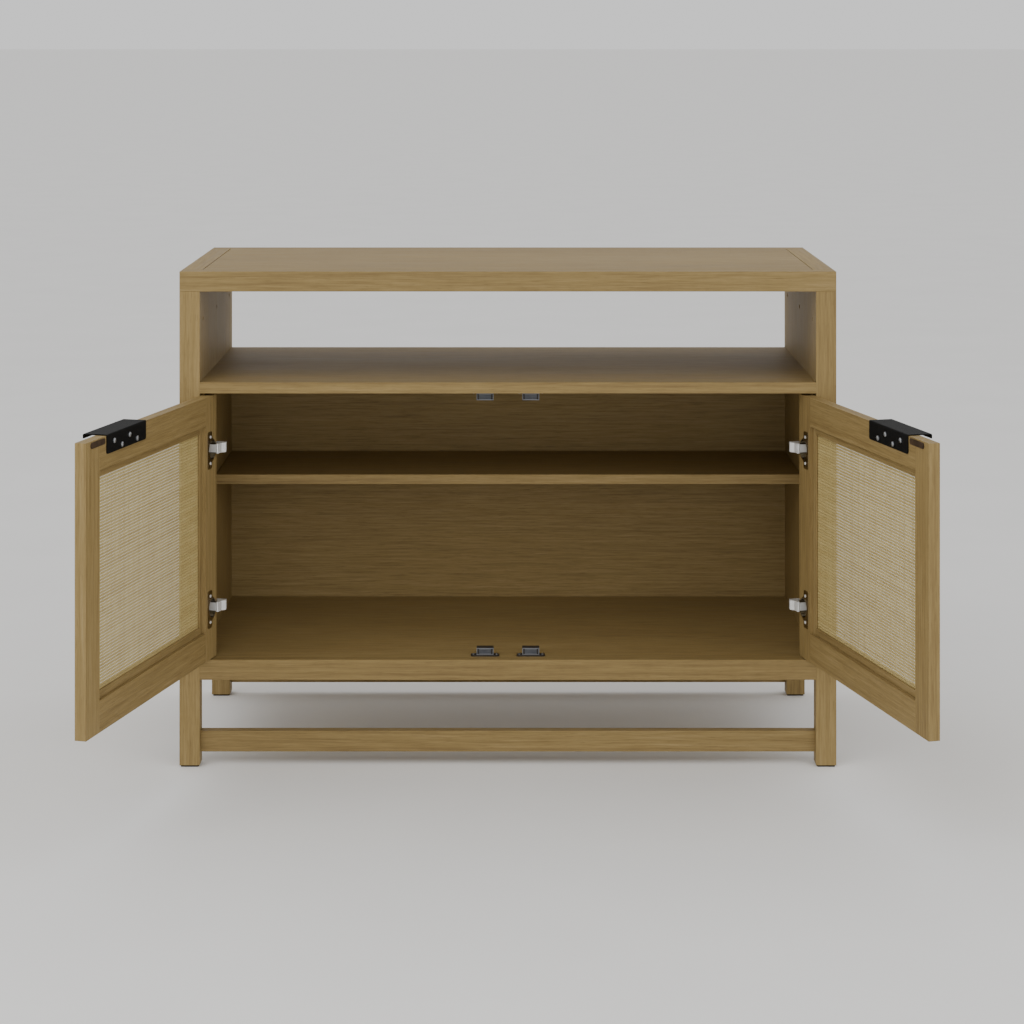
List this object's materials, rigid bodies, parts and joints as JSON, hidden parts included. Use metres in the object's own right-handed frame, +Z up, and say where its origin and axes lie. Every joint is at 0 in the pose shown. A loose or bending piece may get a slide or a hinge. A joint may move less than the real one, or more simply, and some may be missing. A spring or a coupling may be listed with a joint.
{
  "type": "media cabinet",
  "caption": "Low wooden media cabinet on legs with an open upper bay, an inner shelf, and hinged framed doors holding woven cane panels, with black edge pulls.",
  "frame": {"origin": "on the floor, midway across, in the plane of the cabinet's front faces", "axes": "X to the right, Y to the back, Z up"},
  "size_m": [1.3986, 1.0222, 0.905],
  "materials": {
    "wood": "clear satin lacquer on oak-toned wood",
    "dark_wood": "thin veneered board, satin",
    "cane": "open woven cane, unvarnished",
    "black_steel": "matt black powder coat",
    "nickel": "polished nickel plate",
    "screw_steel": "zinc plate",
    "dark_steel": "black oxide",
    "bronzed_steel": "dark brown enamel",
    "brown_plastic": "moulded, fine grain",
    "grey_magnet": "bare steel pole plates",
    "black_plastic": "moulded glide"
  },
  "bodies": {
    "cabinet": {"leg_front_left": "wood", "leg_front_right": "wood", "leg_back_left": "wood", "leg_back_right": "wood", "foot_glides": "black_plastic", "top_rail_front": "wood", "top_rail_back": "wood", "top_rail_left": "wood", "top_rail_right": "wood", "top_panel": "wood", "side_panel_left": "wood", "side_panel_right": "wood", "fixed_shelf": "wood", "bottom_panel": "wood", "bottom_rail_front": "wood", "bottom_rail_back": "wood", "back_panel": "dark_wood", "back_screws": "screw_steel", "stretcher_front": "wood", "stretcher_back": "wood", "inner_shelf": "wood", "shelf_pins": "screw_steel", "side_bolts": "dark_steel", "catch_bodies": "brown_plastic", "catch_magnets": "grey_magnet", "catch_screws": "screw_steel", "hinge_plates": "nickel", "hinge_plate_screws": "screw_steel", "hinge_arms_left": "nickel", "hinge_arms_right": "nickel"},
    "left_link": {"hinge_links_left": "nickel"},
    "left_door": {"left_stile_hinge": "wood", "left_stile_free": "wood", "left_rail_top": "wood", "left_rail_bottom": "wood", "left_beads_upright": "wood", "left_beads_level": "wood", "left_woven_sheet": "cane", "left_pull": "black_steel", "left_pull_screws": "screw_steel", "left_strike_plate": "bronzed_steel", "left_hinge_cups": "nickel", "left_cup_screws": "screw_steel"},
    "right_link": {"hinge_links_right": "nickel"},
    "right_door": {"right_stile_hinge": "wood", "right_stile_free": "wood", "right_rail_top": "wood", "right_rail_bottom": "wood", "right_beads_upright": "wood", "right_beads_level": "wood", "right_woven_sheet": "cane", "right_pull": "black_steel", "right_pull_screws": "screw_steel", "right_strike_plate": "bronzed_steel", "right_hinge_cups": "nickel", "right_cup_screws": "screw_steel"}
  },
  "joints": [
    {"name": "left_link_turn", "type": "hinge", "parent": "cabinet", "child": "left_link", "pos_m": [-0.532, 0.0124, 0.435], "axis": [0, 0, 1], "range_deg": [0, 34.62]},
    {"name": "left_door_swing", "type": "hinge", "parent": "left_link", "child": "left_door", "pos_m": [-0.55064, 0.01761, 0.435], "axis": [0, 0, 1], "range_deg": [0, 70.28]},
    {"name": "right_link_turn", "type": "hinge", "parent": "cabinet", "child": "right_link", "pos_m": [0.532, 0.0124, 0.435], "axis": [0, 0, -1], "range_deg": [0, 34.62]},
    {"name": "right_door_swing", "type": "hinge", "parent": "right_link", "child": "right_door", "pos_m": [0.55064, 0.01761, 0.435], "axis": [0, 0, -1], "range_deg": [0, 70.28]}
  ],
  "couplings": [
    {"joint": "left_link_turn", "follows": "left_door_swing", "ratio": 0.49253},
    {"joint": "right_link_turn", "follows": "right_door_swing", "ratio": 0.49253}
  ]
}
